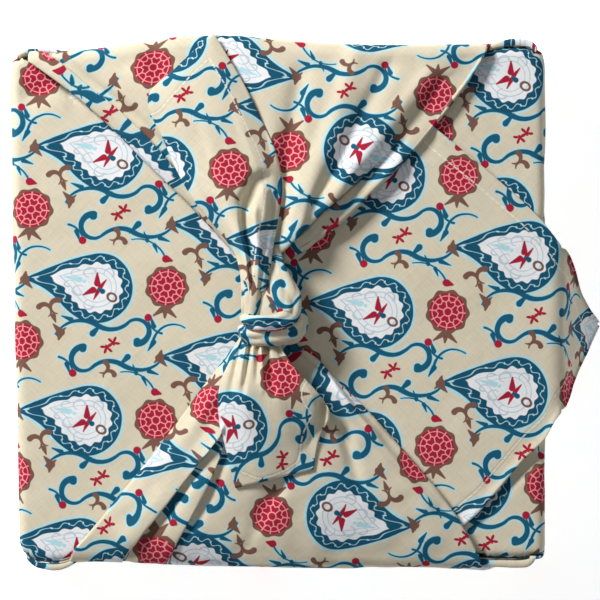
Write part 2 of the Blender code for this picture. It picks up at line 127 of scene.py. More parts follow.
world = bpy.data.worlds.new("studio")
bpy.context.scene.world = world
world.use_nodes = True
fed(world.node_tree.nodes["Background"], Color=(0.93, 0.95, 1, 1), Strength=0.13)
bpy.context.scene.view_settings.view_transform = "Standard"

FLOOR_HALF = 6  # metres
FLOOR_GLOW = 0.72  # white paper that fades out all but the closest shadows
floor_mesh = bpy.data.meshes.new("studio_floor")
floor_corners = [(x * FLOOR_HALF, y * FLOOR_HALF, 0) for x, y in ((-1, -1), (1, -1), (1, 1), (-1, 1))]
floor_mesh.from_pydata(floor_corners, [], [(0, 1, 2, 3)])
floor = add_object("studio_floor", floor_mesh)
floor_material = bpy.data.materials.new("white_paper")
floor_material.use_nodes = True
fed(floor_material.node_tree.nodes["Principled BSDF"], Base_Color=(0.96, 0.96, 0.96, 1), Roughness=0.9,
    Emission_Color=(1, 1, 1, 1), Emission_Strength=FLOOR_GLOW)
floor_mesh.materials.append(floor_material)


# ---- the printed cotton
material = bpy.data.materials.new("printed_cotton")
material.use_nodes = True
TREE = material.node_tree


def joined(operation):
    return lambda first, second: maths(operation, first, second)


class Number:
    """A number at each place on the cloth, built up from Math nodes."""

    __add__ = __radd__ = joined("ADD")
    __mul__ = __rmul__ = joined("MULTIPLY")
    __sub__ = joined("SUBTRACT")

    def __init__(self, socket):
        self.socket = socket

    def __rsub__(self, other):
        return maths("SUBTRACT", other, self)

    def __abs__(self):
        return maths("ABSOLUTE", self)


def new_node(kind, **inputs):
    return fed(TREE.nodes.new("ShaderNode" + kind), **inputs)


def maths(operation, *values, clamp=False):
    node = new_node("Math")
    node.operation, node.use_clamp = operation, clamp
    for slot, value in zip(node.inputs, values):
        feed(slot, value)
    return Number(node.outputs[0])


def least(first, *others):
    for other in others:
        first = maths("MINIMUM", first, other)
    return first


def most(first, *others):
    for other in others:
        first = maths("MAXIMUM", first, other)
    return first


def length(x, y):
    return maths("SQRT", x * x + y * y)


def turned(x, y, degrees):
    """x and y in axes turned by some degrees."""
    c, s = math.cos(math.radians(degrees)), math.sin(math.radians(degrees))
    return x * c + y * s, y * c - x * s


def moved(x, y, to_x, to_y, degrees=0):
    return turned(x - to_x, y - to_y, degrees)


def teardrop(x, y, wide, narrow, long):
    """Distance to a drop: a wide round end at the origin, a narrow one up the Y axis."""
    b = (wide - narrow) / long
    a = math.sqrt(1 - b * b)
    x = abs(x)
    part = maths("DIVIDE", y * a - x * b, a * long, clamp=True)
    return length(x, y - part * long) - (part * (narrow - wide) + wide)


def arc(x, y, cx, cy, radius, start, end, wide_in, wide_out):
    """Distance to a brush stroke along an arc, from start to end in degrees, with its two widths."""
    along, across = moved(x, y, cx, cy, (start + end) / 2)
    half = math.radians(end - start) / 2
    t = most(least(maths("ARCTAN2", across, along) * (1 / half), 1), -1)
    angle = t * half
    near_x, near_y = maths("COSINE", angle) * radius, maths("SINE", angle) * radius
    thick = t * ((wide_out - wide_in) / 2) + (wide_in + wide_out) / 2
    return length(along - near_x, across - near_y) - thick


# a drop stands at x, y with its narrow end turned by turn; a stroke's arc is round x, y; in millimetres
Drop = namedtuple("Drop", "x y turn wide narrow long")
Stroke = namedtuple("Stroke", "x y radius start end wide_in wide_out")
Dot = namedtuple("Dot", "x y radius")


def drawn(x, y, *marks):
    """Distance to the nearest of some drops, strokes and dots."""
    def distance(mark):
        if isinstance(mark, Stroke):
            return arc(x, y, *mark)
        if isinstance(mark, Drop):
            return teardrop(*moved(x, y, *mark[:3]), *mark[3:])
        return length(x - mark.x, y - mark.y) - mark.radius
    return least(*map(distance, marks))


def inside(distance, soft=0.16):
    """1 where a distance is negative, with a soft edge."""
    return maths("MULTIPLY_ADD", distance, -0.5 / soft, 0.5, clamp=True)


def mix(factor, below, above):
    node = new_node("Mix")
    node.data_type = "RGBA"
    return fed(node, Factor=factor, A=below, B=above).outputs["Result"]


def colour(*screen):
    """A colour given as red, green and blue from 0 to 255 on screen."""
    linear = [(c / 255 / 12.92 if c < 11 else ((c / 255 + 0.055) / 1.055) ** 2.4) for c in screen]
    return (*linear, 1)


CREAM = colour(210, 199, 173)
CREAM_PALE = colour(221, 212, 190)
TEAL = colour(10, 88, 116)
TEAL_DEEP = colour(6, 68, 96)
AQUA = colour(176, 218, 226)
MILK = colour(232, 234, 236)
MILK_LINE = colour(188, 203, 214)
CRIMSON = colour(166, 22, 54)
PINK = colour(244, 158, 158)
BROWN = colour(118, 84, 72)
THREAD = colour(238, 232, 218)

REPEAT_X, REPEAT_Y = 69, 66
PRINT_TURN = -5  # degrees


def uv_map(name):
    """Places on the flat cloth: a socket in metres, and two numbers in millimetres."""
    node = new_node("UVMap")
    node.uv_map = name
    across, up = new_node("SeparateXYZ", Vector=node.outputs["UV"]).outputs[:2]
    return node.outputs["UV"], Number(across) * (1 / MM), Number(up) * (1 / MM)


def noise(vector, scale, detail=2, rough=0.5):
    return Number(new_node("TexNoise", Vector=vector, Scale=scale, Detail=detail, Roughness=rough).outputs["Fac"])


def cell(u, v, cx, cy):
    """Place within the print's half-drop repeat, measured from a motif's centre."""
    du, dv = u - cx, v - cy
    column = maths("ROUND", du * (1 / REPEAT_X))
    dv = dv - column * (REPEAT_Y / 2)
    row = maths("ROUND", dv * (1 / REPEAT_Y))
    return du - column * REPEAT_X, dv - row * REPEAT_Y


# the paisley leaf: the petals and curls stand on both sides of its middle line
LEAF = Drop(7, -5, 62, 17.8, 0.8, 31)
LEAF_BEND = 0.0155
LEAF_WAVES = 15
BORDER_WIDTH = 5.2
PETALS = (Drop(1.9, 0.6, -58, 1.6, 0.35, 5.4), Drop(1, -1.6, -96, 1.15, 0.3, 4.8))
STAMEN = Drop(0, -3.6, 0, 1.3, 0.5, 2.4)
LEAF_SPRIG = (Drop(0, 9, 0, 1.5, 0.3, 7), Dot(0, 6.4, 0.9))
CURLS = (
    Stroke(5.2, 6.6, 2.6, 200, -50, 0.2, 0.55),
    Stroke(9.2, -1.5, 2.4, 150, -100, 0.2, 0.5),
    Stroke(3.2, 12.4, 1.8, 210, -30, 0.15, 0.45),
)
# the rosette: its scalloped rim, its seeds' edge, the rings between its seeds, and its leaflets
ROSETTE_AT = (41.5, -2)
ROSETTE_RIM, ROSETTE_SEEDS, ROSETTE_OUTER, ROSETTE_MIDDLE, ROSETTE_INNER = 10.4, 8.9, 7.6, 5.2, 2
CALYX = (Drop(1.2, -11, -128, 1.5, 0.4, 5.6), Drop(0, -10.6, 180, 1.7, 0.5, 4.4))
# the tendril and what grows on it, the same when turned half round
TENDRIL_AT = (16, 33)
TENDRIL = (
    Stroke(-14, -4, 15, 152, 62, 0.35, 1.35),
    Stroke(-1.1, 20.2, 12.4, 242, 318, 1.35, 0.8),
    Stroke(12.6, 7.9, 6, 138, -86, 0.7, 1.7),
    Drop(-9, 5, -40, 1.6, 0.3, 6.2),
    Drop(20.6, 11.2, 24, 1.2, 0.3, 5.4),
    Drop(-20, 11, 74, 1.2, 0.3, 5),
    Dot(13.2, 2.9, 1.9),
)
TENDRIL_STEM = Stroke(26, 17, 9, 198, 262, 0.4, 0.6)
TENDRIL_BUD = Dot(17.4, 15.4, 1.9)
TENDRIL_LEAFLETS = (
    Drop(-24.5, 4.2, 48, 1.9, 0.3, 5.6),
    Drop(-25.6, 3.4, -44, 1.6, 0.3, 4.6),
    Drop(-25, 2.6, 172, 1.3, 0.3, 2.6),
)
STAR_AT = (1.5, 1.2)
# a sprig beside each leaf, a twin leaflet below and above it, and a stalk to the rosette
SPRIG_AT, SPRIG_TURN = (33, 18.5), -36
SPRIG_STEM = (
    Stroke(2, -14, 14.6, 142, 62, 0.3, 0.5),
    Drop(-3.4, -0.4, 62, 1, 0.25, 4.6),
    Drop(0.6, 0.2, -118, 1, 0.25, 4),
)
SPRIG_BUD = Drop(9.4, -1.4, -66, 1.9, 0.5, 3.2)
Twin = namedtuple("Twin", "at turn marks")
TWINS = (
    Twin((-13.5, -19.5), 24, (Stroke(3.4, 2, 3.4, 250, 60, 0.3, 1.5), Drop(0, -1.6, 180, 1.3, 0.3, 3.4))),
    Twin((13.5, 18.6), -50, (Stroke(2.9, 1.6, 2.9, 240, 70, 0.3, 1.35),)),
)
STALK_AT = (-26, 12)
STALK = (Stroke(4, -9, 10, 60, 172, 0.35, 0.7), Drop(-5.8, -8.6, 152, 1.35, 0.3, 5))


def rosette(u, v):
    """The rosette: its brown rim and leaflets, its seeds, and the veins between them."""
    x, y = cell(u, v, *ROSETTE_AT)
    r, angle = length(x, y), maths("ARCTAN2", y, x)
    rim = r - ROSETTE_RIM - maths("COSINE", angle * 9) * 0.5
    outer_veins = most(abs(maths("SINE", angle * 6)) * r * (1 / 6) - 0.28, ROSETTE_MIDDLE - r)
    inner_veins = most(abs(maths("SINE", angle * 3 + 0.8)) * r * (1 / 3) - 0.26,
                       r - ROSETTE_MIDDLE, ROSETTE_INNER - r)
    middle_ring = abs(r - ROSETTE_MIDDLE - maths("COSINE", angle * 12) * 0.45) - 0.28
    rings = least(middle_ring, abs(r - ROSETTE_INNER) - 0.28, abs(r - ROSETTE_OUTER) - 0.2)
    brown = least(rim, drawn(abs(x), y, *CALYX))
    return brown, r - ROSETTE_SEEDS, least(outer_veins, inner_veins, rings)


def print_colour(u, v):
    """The print: paisley leaves, rosettes, tendrils, leaflets and buds on cream."""
    p, q = cell(u, v, 0, 0)
    p, q = moved(p, q, LEAF.x, LEAF.y, LEAF.turn)
    p = p + most(q, 0) * most(q, 0) * LEAF_BEND
    leaf = teardrop(p, q, LEAF.wide, LEAF.narrow, LEAF.long)
    around = maths("ARCTAN2", p, q)
    inner = leaf + BORDER_WIDTH + maths("COSINE", around * LEAF_WAVES) * 0.6
    ripple = abs(leaf + BORDER_WIDTH / 2 + maths("SINE", around * LEAF_WAVES) * 1.1) - 0.22
    beads = length(maths("SINE", around * (LEAF_WAVES / 2)) * 3.8, leaf + 2.5) - 0.7
    contour = least(abs(leaf + 8) - 0.26, abs(leaf + 10.4) - 0.2)
    wing = abs(p)
    eye = abs(length(p * 1.25, q + 9) - 2.3) - 0.65

    brown, seeds, veins = rosette(u, v)

    a, b = cell(u, v, *TENDRIL_AT)
    flip = maths("SIGN", b + 0.0001)
    a, b = a * flip, abs(b)
    star_a, star_b = a - STAR_AT[0], b - STAR_AT[1]
    star = length(star_a, star_b) - 2.2 - maths("COSINE", maths("ARCTAN2", star_b, star_a) * 5) * 1.2
    c, d = turned(*cell(u, v, *SPRIG_AT), SPRIG_TURN)
    stems = least(drawn(a, b, TENDRIL_STEM), drawn(c, d, *SPRIG_STEM), drawn(*cell(u, v, *STALK_AT), *STALK))
    buds = least(drawn(a, b, TENDRIL_BUD), drawn(c, d, SPRIG_BUD))
    leaflets = drawn(a, b, *TENDRIL_LEAFLETS)
    for twin in TWINS:
        e, f = turned(*cell(u, v, *twin.at), twin.turn)
        leaflets = least(leaflets, drawn(abs(e), f, *twin.marks))

    teal_lines = least(drawn(a, b, *TENDRIL), stems)
    halo = inside(least(leaf - 1.25, teal_lines - 0.75), 0.3)
    border = mix(noise(flat_place, 90), TEAL, TEAL_DEEP)
    cloth = mix(halo, mix(noise(flat_place, 26, 3), CREAM, CREAM_PALE), AQUA)
    for distance, tint in (
            (teal_lines, TEAL),
            (leaf, border),
            (least(most(ripple, leaf + 0.5, 0 - inner), beads), AQUA),
            (inner, MILK),
            (most(contour, inner), MILK_LINE),
            (most(drawn(wing, q, *CURLS), inner), MILK_LINE),
            (drawn(p, q, *LEAF_SPRIG), AQUA),
            (drawn(wing, q, *PETALS), CRIMSON),
            (drawn(p, q, STAMEN), TEAL),
            (eye, BROWN),
            (least(brown, leaflets), BROWN),
            (least(seeds, buds, star), CRIMSON),
            (most(veins, seeds), PINK)):
        cloth = mix(inside(distance), cloth, tint)
    return cloth


flat_place, flat_u, flat_v = uv_map("cloth_flat")
_, from_edge, along_edge = uv_map("cloth_hem")
wander = (noise(flat_place, 70, 2) - 0.5) * 0.9
printed = print_colour(*turned(flat_u + wander, flat_v - wander, PRINT_TURN))

# hem: a fold of cloth held by a line of stitches
STITCH_STEP = 3
STITCH_HALF_LENGTH = 1.1
in_step = abs(maths("FRACT", along_edge * (1 / STITCH_STEP)) - 0.5) * STITCH_STEP
stitch = most(abs(from_edge - HEM_WIDTH) - 0.34, in_step - STITCH_HALF_LENGTH)
printed = mix(inside(stitch, 0.14) * 0.75, printed, THREAD)

# weave: threads both ways along the hems, uneven in thickness
THREAD_PITCH = 0.42
SLUB_ALONG, SLUB_ACROSS = 0.09, 1.6  # how fast a thread's thickness changes, for each millimetre
thread_a, thread_b = turned(flat_u, flat_v, 45)


def slubs(scale_a, scale_b):
    place = new_node("CombineXYZ", X=thread_a * scale_a, Y=thread_b * scale_b)
    return noise(place.outputs[0], 1, 2, 0.6)


threads = slubs(SLUB_ALONG, SLUB_ACROSS) + slubs(SLUB_ACROSS, SLUB_ALONG)
wavelength = 2 * math.pi / THREAD_PITCH
weave = maths("SINE", thread_a * wavelength) * maths("SINE", thread_b * wavelength)
crumple = noise(flat_place, 55, 4, 0.55)
hem_step = maths("MULTIPLY_ADD", from_edge - HEM_WIDTH - 0.8, -0.9, 0.5, clamp=True)
stitch_dip = inside(abs(from_edge - HEM_WIDTH) - 0.5, 0.4)
height = threads * 0.05 + weave * 0.012 + crumple * 0.9 + hem_step * 0.30 - stitch_dip * 0.16

shade = new_node("HueSaturation", Color=printed, Value=threads * 0.22 + 0.78)
bump = new_node("Bump", Strength=0.75, Distance=MM, Height=height)
fed(TREE.nodes["Principled BSDF"], Base_Color=shade.outputs["Color"], Normal=bump.outputs["Normal"],
    Roughness=0.86, Specular_IOR_Level=0.22, Sheen_Weight=0.04, Sheen_Roughness=0.5)


# ---- small curves
def through(rows, places):
    """Points on a smooth curve through a table's rows, at places from 0 to 1."""
    rows = np.array(rows, dtype=float)
    spans = len(rows) - 1
    ends = np.vstack([2 * rows[0] - rows[1], rows, 2 * rows[-1] - rows[-2]])
    places = np.asarray(places, dtype=float)
    span = np.minimum((places * spans).astype(int), spans - 1)
    t = (places * spans - span)[:, None]
    before, start, end, after = ends[span], ends[span + 1], ends[span + 2], ends[span + 3]
    return 0.5 * (2 * start + (end - before) * t + (2 * before - 5 * start + 4 * end - after) * t ** 2
                  + (3 * (start - end) + after - before) * t ** 3)


def rounded_path(corners, radii, spacings, bend_steps=7):
    """A path with rounded corners: its points, its directions and its lengths so far."""
    corners = [np.array(corner, dtype=float) for corner in corners]
    points = [corners[0]]

    def straight_to(end, spacing):
        start = points[-1]
        steps = max(1, math.ceil(np.linalg.norm(end - start) / spacing - 1e-6))
        points.extend(start + (end - start) * step / steps for step in range(1, steps + 1))

    for before, corner, after, radius, spacing in zip(corners, corners[1:], corners[2:], radii, spacings):
        way_in, way_out = unit(corner - before), unit(after - corner)
        turn = math.acos(np.clip(way_in @ way_out, -1, 1))
        straight_to(corner - way_in * radius * math.tan(turn / 2), spacing)
        side = np.array([-way_in[1], way_in[0]])
        if side @ way_out < 0:
            side = -side
        centre = points[-1] + side * radius
        for step in range(1, bend_steps + 1 if radius else 1):
            angle = turn * step / bend_steps
            points.append(centre - side * radius * math.cos(angle) + way_in * radius * math.sin(angle))
    straight_to(corners[-1], spacings[-1])
    points = np.array(points)
    return points, unit(np.gradient(points, axis=0)), arc_lengths(points)


def unit(vectors):
    return vectors / np.maximum(np.linalg.norm(vectors, axis=-1, keepdims=True), 1e-9)


def stacked(*parts):
    """Coordinates, each an array or a number, side by side as points."""
    return np.stack(np.broadcast_arrays(*parts), axis=-1)


def arc_lengths(points):
    return np.concatenate([[0], np.cumsum(np.linalg.norm(np.diff(points, axis=0), axis=1))])


def ridge(distance, width):
    """A soft ridge of height 1 and the given width."""
    return np.exp(-(distance / width) ** 2)


def smooth(low, high, value):
    t = np.clip((value - low) / (high - low), 0, 1)
    return t * t * (3 - 2 * t)


def lean_parcel(points):
    """The parcel isn't quite square: its right side is longer and its left side leans."""
    points = points.copy()
    x, y = points[..., 0].copy(), points[..., 1].copy()
    points[..., 1] = y * (1 + SKEW_Y * x / HALF_X)
    points[..., 0] = x * (1 + SKEW_X * (y / PANEL_Y) * np.clip(-x / HALF_X, 0, 1))
    return points


def ripples(x, y, size, seed, waves=7):
    """Gentle unevenness, about -1 to 1, with bumps of about the given size."""
    chance = np.random.default_rng(seed)
    total = 0
    for _ in range(waves):
        angle, phase = chance.uniform(0, 2 * math.pi, 2)
        k = 2 * math.pi / (size * chance.uniform(0.7, 1.6))
        total = total + np.sin(k * (x * math.cos(angle) + y * math.sin(angle)) + phase)
    return total / math.sqrt(waves)


def table(kind, *rows):
    """A list of rows, each a namedtuple of one kind."""
    return [kind(*row) for row in rows]


# a fold drawn on a sheet: a line of (x, y), its height at the line's two ends, and how wide it is
# on its left and on its right, seen along the line
Crease = namedtuple("Crease", "line high_in high_out left right")


def nearest_on(line, x, y):
    """Distance to a line of points, signed with + on its left, and the length along it."""
    line = np.array(line, dtype=float)
    if len(line) > 2:
        line = through(line, np.linspace(0, 1, 6 * (len(line) - 1) + 1))
    so_far = arc_lengths(line)
    best = np.full(x.shape, np.inf)
    signed, along = np.zeros(x.shape), np.zeros(x.shape)
    for start, end, length_here in zip(line, line[1:], so_far):
        step = end - start
        long = np.linalg.norm(step)
        t = np.clip(((x - start[0]) * step[0] + (y - start[1]) * step[1]) / long ** 2, 0, 1)
        dx, dy = x - start[0] - t * step[0], y - start[1] - t * step[1]
        distance = np.hypot(dx, dy)
        side = np.sign(step[0] * dy - step[1] * dx)
        closer = distance < best - 1e-9
        best = np.where(closer, distance, best)
        signed = np.where(closer, np.where(side < 0, -distance, distance), signed)
        along = np.where(closer, length_here + t * long, along)
    return signed, along, so_far[-1]


def creased(x, y, creases):
    total = np.zeros(x.shape)
    for crease in creases:
        signed, along, whole = nearest_on(crease.line, x, y)
        width = np.where(signed > 0, crease.left, crease.right)
        total += (crease.high_in + (crease.high_out - crease.high_in) * along / whole) * ridge(signed, width)
    return total


# a fold that laps over its right side, seen along the line: how far it reaches over, how high its
# top lies above the cloth at the line's two ends, the width it is made from, how far its top takes
# to come down again on the left, and how much cloth is hidden in it
Lap = namedtuple("Lap", "line over high_in high_out width settles hidden")


def lapped(grid, flat, laps, fade):
    """Moves the points near each lap's line sideways and up, into an S-shaped fold."""
    for lap in laps:
        x, y = grid[..., 0], grid[..., 1]
        signed, along, whole = nearest_on(lap.line, x, y)
        part = along / whole
        strength = fade * (0.25 + 0.75 * smooth(0, 0.12, part) * smooth(1, 0.9, part))
        s = np.clip(signed / lap.width, -1, 1)
        line = through(lap.line, np.linspace(0, 1, 40))
        so_far = arc_lengths(line)
        way_x, way_y = (np.interp(along, so_far, way) for way in unit(np.gradient(line, axis=0)).T)
        shift = -lap.over * np.sin(math.pi * s) * strength
        high = lap.high_in + (lap.high_out - lap.high_in) * part
        rise = high * 0.5 * (1 + np.sin(math.pi / 2 * s)) * ridge(np.maximum(signed, 0), lap.settles)
        grid = stacked(x - way_y * shift, y + way_x * shift, grid[..., 2] + rise * strength)
        flat = flat + stacked(way_y, way_x) * (lap.hidden * smooth(-0.5, 0.5, s))[..., None]
    return grid, flat


# ---- patches of the one cloth
class Cloth:
    """Grids of points with their places on the flat cloth, gathered into one mesh."""

    def __init__(self):
        self.points, self.flat, self.hem, self.faces, self.count = [], [], [], [], 0

    def add(self, grid, flat, hem=None):
        """Hem holds the distance from the nearest hem's edge, and the length along it."""
        if hem is None:
            hem = np.zeros(flat.shape) + (NO_HEM, 0)
        self.faces.append(quads_of(grid) + self.count)
        self.points.append(grid.reshape(-1, 3))
        self.flat.append(flat.reshape(-1, 2))
        self.hem.append(hem.reshape(-1, 2))
        self.count += len(self.points[-1])

    def build(self, name):
        """The mesh, with the places on the flat cloth and on the hems as its UV maps."""
        mesh = bpy.data.meshes.new(name)
        points = np.concatenate(self.points) * MM
        faces = np.concatenate(self.faces)
        mesh.from_pydata(points.tolist(), [], faces.tolist())
        mesh.update()
        corners = np.zeros(len(mesh.loops), dtype=np.int64)
        mesh.loops.foreach_get("vertex_index", corners)
        for layer_name, places in (("cloth_flat", self.flat), ("cloth_hem", self.hem)):
            layer = mesh.uv_layers.new(name=layer_name, do_init=False)
            layer.data.foreach_set("uv", (np.concatenate(places) * MM)[corners].astype(np.float32).ravel())
        mesh.shade_smooth()
        mesh.materials.append(material)
        return add_object(name, mesh)


def quads_of(grid):
    number = np.arange(grid[..., 0].size).reshape(grid.shape[:2])
    return np.stack([number[:-1, :-1], number[:-1, 1:], number[1:, 1:], number[1:, :-1]], axis=-1).reshape(-1, 4)


def normals_of(grid):
    return unit(np.cross(np.gradient(grid, axis=1), np.gradient(grid, axis=0)))


# ---- the side flaps: one band from the right flap, round below, to the left flap's corner
BAND_COLUMNS = 113


def side_band(cloth):
    """Right flap, right wall, underside, left wall and left flap, as rows across one band."""
    start_x = HALF_X - RIGHT_FLAP_REACH
    fall = OVERHANG - (HANG_START - HALF_X)
    tip = (HANG_START + fall * math.cos(HANG_ANGLE), LEFT_TOP - fall * math.sin(HANG_ANGLE))
    corners = ((start_x, RIGHT_TOP), (55, RIGHT_TOP), (HALF_X, RIGHT_TOP), (HALF_X, RIM), (-HALF_X, RIM),
               (-HALF_X, LEFT_TOP), (HANG_START, LEFT_TOP), tip)
    radii = (0, EDGE_ROUND, EDGE_ROUND, EDGE_ROUND, EDGE_ROUND, HANG_ROUND)
    path, tangents, lengths = rounded_path(corners, radii, (26, 2.6, 3, 26, 3, 2.2, 1.7))
    below = path[:, 1] < 2 * RIM
    centre = np.interp(0, path[below, 0][::-1], lengths[below][::-1])  # length at the cloth's middle
    half_way = lengths[-1] / 2
    share = np.linspace(0, 1, BAND_COLUMNS)
    grid, flat, hem = [], [], []
    for (x, z), (tx, tz), length_here in zip(path, tangents, lengths):
        left_flap = length_here > half_way
        normal = np.array([-tz, 0, tx])
        left_here = lengths[-1] - length_here
        turned_in = FLANGE if 2 * RIM < z else 0
        corner_distance = min(math.hypot(x - cx, z - cz) for cx in (-HALF_X, HALF_X) for cz in (RIM, LEFT_TOP))
        reach = PANEL_Y - FLANGE_ROUND + min(turned_in, FLANGE_MITRE * corner_distance)
        hem_up, hem_down = hem_reach(left_here) if left_flap else (CLOTH_SIDE, CLOTH_SIDE)
        upper, lower = min(reach, hem_up), min(reach, hem_down)
        t = -lower + (lower + upper) * share
        nested = 0 if left_flap or x > 100 else LAYER
        out = [corner_out(x, away) * smooth(LEFT_TOP - 16, LEFT_TOP - 6, z) for away in (-1, 1)]
        if x < HEM_CLEAR_X or not left_flap:
            t = t + np.where(t < 0, -out[0], out[1]) * smooth(60, 112, np.abs(t))
        grid.append(across_band(x, z, normal, t, np.where(t < 0, nested - out[0], nested - out[1])))
        edge = np.minimum(hem_up - t, hem_down + t) / math.sqrt(2) * 1.02 if left_flap else NO_HEM
        flat.append(stacked(length_here - centre, t))
        hem.append(stacked(np.minimum(edge, NO_HEM), t * math.sqrt(2)))
    grid, flat, hem = np.array(grid), np.array(flat), np.array(hem)
    u, v = flat[..., 0], flat[..., 1]
    left_top = (lengths > half_way)[:, None] & (grid[..., 2] > LEFT_TOP - 3)
    right_top = (lengths < half_way)[:, None] & (grid[..., 2] > RIGHT_TOP - 3)
    normal = normals_of(grid)
    x, y = grid[..., 0], grid[..., 1]
    walls = 1 - smooth(LEFT_TOP - 9, LEFT_TOP - 2, grid[..., 2])
    sag = ripples(u, v, 95, 3) * 0.55 + ripples(u, v, 38, 5) * 0.22 + ripples(u, v, 15, 6) * 0.07
    push = sag * (0.55 + 0.9 * walls) * (1 - walls * smooth(88, 104, np.abs(y)))
    push = np.where(grid[..., 2] < 2 * RIM, 0, push)
    push += np.where(left_top, creased(x, y, LEFT_CREASES), 0)
    push += np.where(right_top, creased(x, y, RIGHT_CREASES), 0)
    # the hem is thicker than the cloth, and the flap below it sinks a little along it
    push += 1.1 * ridge(hem[..., 0], 2.6) * (x < HANG_START)
    normal = np.where((left_top | right_top)[..., None] & (normal[..., 2:3] < 0), -normal, normal)
    grid = grid + normal * push[..., None]
    cloth.add(*with_rim(grid, flat, hem, normal, out=0.3, down=1.1))


def with_rim(grid, flat, hem, normal, out, down):
    """A strip more along both side edges, turned away from the side that shows: a hem's thickness."""
    def pad(places, first, last):
        return np.concatenate([first[:, None], places, last[:, None]], axis=1)
    edges = []
    for edge, neighbour in ((0, 1), (-1, -2)):
        way = unit(grid[:, edge] - grid[:, neighbour])
        edges.append(grid[:, edge] + way * out - normal[:, edge] * down)
    return pad(grid, *edges), pad(flat, flat[:, 0], flat[:, -1]), pad(hem, hem[:, 0], hem[:, -1])


def hem_reach(left_here):
    """How far the left flap's two hems lie from the middle, by the cloth left up to its corner."""
    return [side * TIP_Y + 0.6 + np.interp(left_here, *hem) for side, hem in ((1, HEM_UPPER), (-1, HEM_LOWER))]


# each hem of the left flap: cloth left up to the corner, and the hem's distance from the corner's line
HEM_UPPER = ((0, 11, 22.3, 30, 41.3, 47.4, 56, 66, 88, 110, 130, 300),
             (0, 6, 13.6, 21.1, 32.9, 37.4, 48.6, 58.5, 77.5, 95.2, 114, 264))
HEM_LOWER = ((0, 13.6, 34.7, 42.3, 50.2, 53.4, 56, 66, 88, 110, 130, 300),
             (0, 12.9, 28.8, 36.4, 45, 51, 55.5, 64.5, 90.5, 109, 130, 294))


def across_band(x, z, normal, t, nested):
    """Points at t across the band; past the parcel's ends the cloth turns in."""
    end = PANEL_Y - nested
    over = np.abs(t) - (end - FLANGE_ROUND)
    quarter = FLANGE_ROUND * math.pi / 2
    bend = np.clip(over, 0, quarter) / FLANGE_ROUND
    straight = np.maximum(over - quarter, 0)
    y = np.where(over <= 0, np.abs(t), end - FLANGE_ROUND + FLANGE_ROUND * np.sin(bend))
    drop = FLANGE_ROUND * (1 - np.cos(bend)) + straight
    return stacked(x - normal[0] * drop, np.sign(t) * y, z - normal[2] * drop)


LEFT_CREASES = table(Crease,
    (((-122, 104), (-110, 109), (-100, 104)), -1.6, -0.8, 5, 5),
    (((-121, 126), (-112, 118), (-100, 105.5)), -6.5, -4, 2.4, 2),
    (((-126, 122), (-116, 114), (-103, 101.5)), 1.4, 1.2, 2.4, 2.4),
    (((-115.6, -70), (-62, -13.7)), 0.35, 0.2, 1.2, 1.2),
    (((-60, 20), (-25, -10)), 0.3, 0.15, 1.5, 1.5),
)
RIGHT_CREASES = table(Crease,
    (((98, 120), (112, 78), (124, 52)), -0.5, -0.2, 3, 5),
    (((70, 85), (92, 68.5), (114, 51), (128, 38)), -2.6, -2.2, 3.4, 3.4),
    (((128, -71), (112, -84), (98, -96)), -2.2, -2.2, 3.2, 3.2),
    (((84, -112), (108, -106), (126, -112)), 0.6, 0.2, 3, 5),
)

# ---- the far and near flaps
# the near end and the far end: where the end wall bulges, and how far to the right the print lies
End = namedtuple("End", "bulge_x bulge_width bulge_out print_right")
# the near flap's print is moved right so that its dark teal lies in the shadowed trough beside the near tail:
# dark print placed there as painted shade, on top of the real shadow
NEAR_END, FAR_END = End(-20, 60, 0.8, 23), End(-34, 40, 6.4, 0)

# one row for each section, from the parcel's edge to the knot: its two ends, how high its middle
# rises, and the radius of its rolled side edges
Section = namedtuple("Section", "left_x left_y right_x right_y lift roll")
FAR_FLAP = table(Section,
    (-121, 122, 101, 122, 0.8, 0.9),
    (-102.5, 107, 92.5, 108.5, 2.6, 1.3),
    (-84, 90, 76, 87, 4.6, 1.5),
    (-67.5, 73, 60, 68.5, 6.4, 1.8),
    (-51.5, 57, 43.5, 53, 7.8, 2.2),
    (-36, 40.5, 21, 35, 8.2, 2.4),
    (-21.5, 25, 1, 21, 7.5, 2.2),
    (-18.5, 13, -5, 12, 6, 1.8),
)
NEAR_FLAP = table(Section,
    (-103.5, -122, 98, -122, 0.8, 0.9),
    (-95, -112.5, 92, -110.5, 2.5, 1.7),
    (-78, -92.5, 79.5, -92, 4.5, 2.2),
    (-57.5, -67.5, 57, -66, 6.5, 2.6),
    (-42, -45.5, 37, -45, 7.5, 2.6),
    (-29, -28, 18, -29, 7.5, 2.3),
    (-18.5, -14, 6, -16, 6, 1.8),
)
FAR_LAPS = table(Lap,
    (((-24, 33), (-42, 56), (-64, 82), (-79, 97), (-92, 108), (-104, 119), (-113, 127)),
     2, 3, 2, 3.6, 7, 31),
    (((-4.4, 18.1), (5.9, 30.4), (12.3, 35.8), (21.6, 45.6), (40, 62), (60, 82)),
     0.9, 1.6, 0.2, 2.4, 9, 0),
)
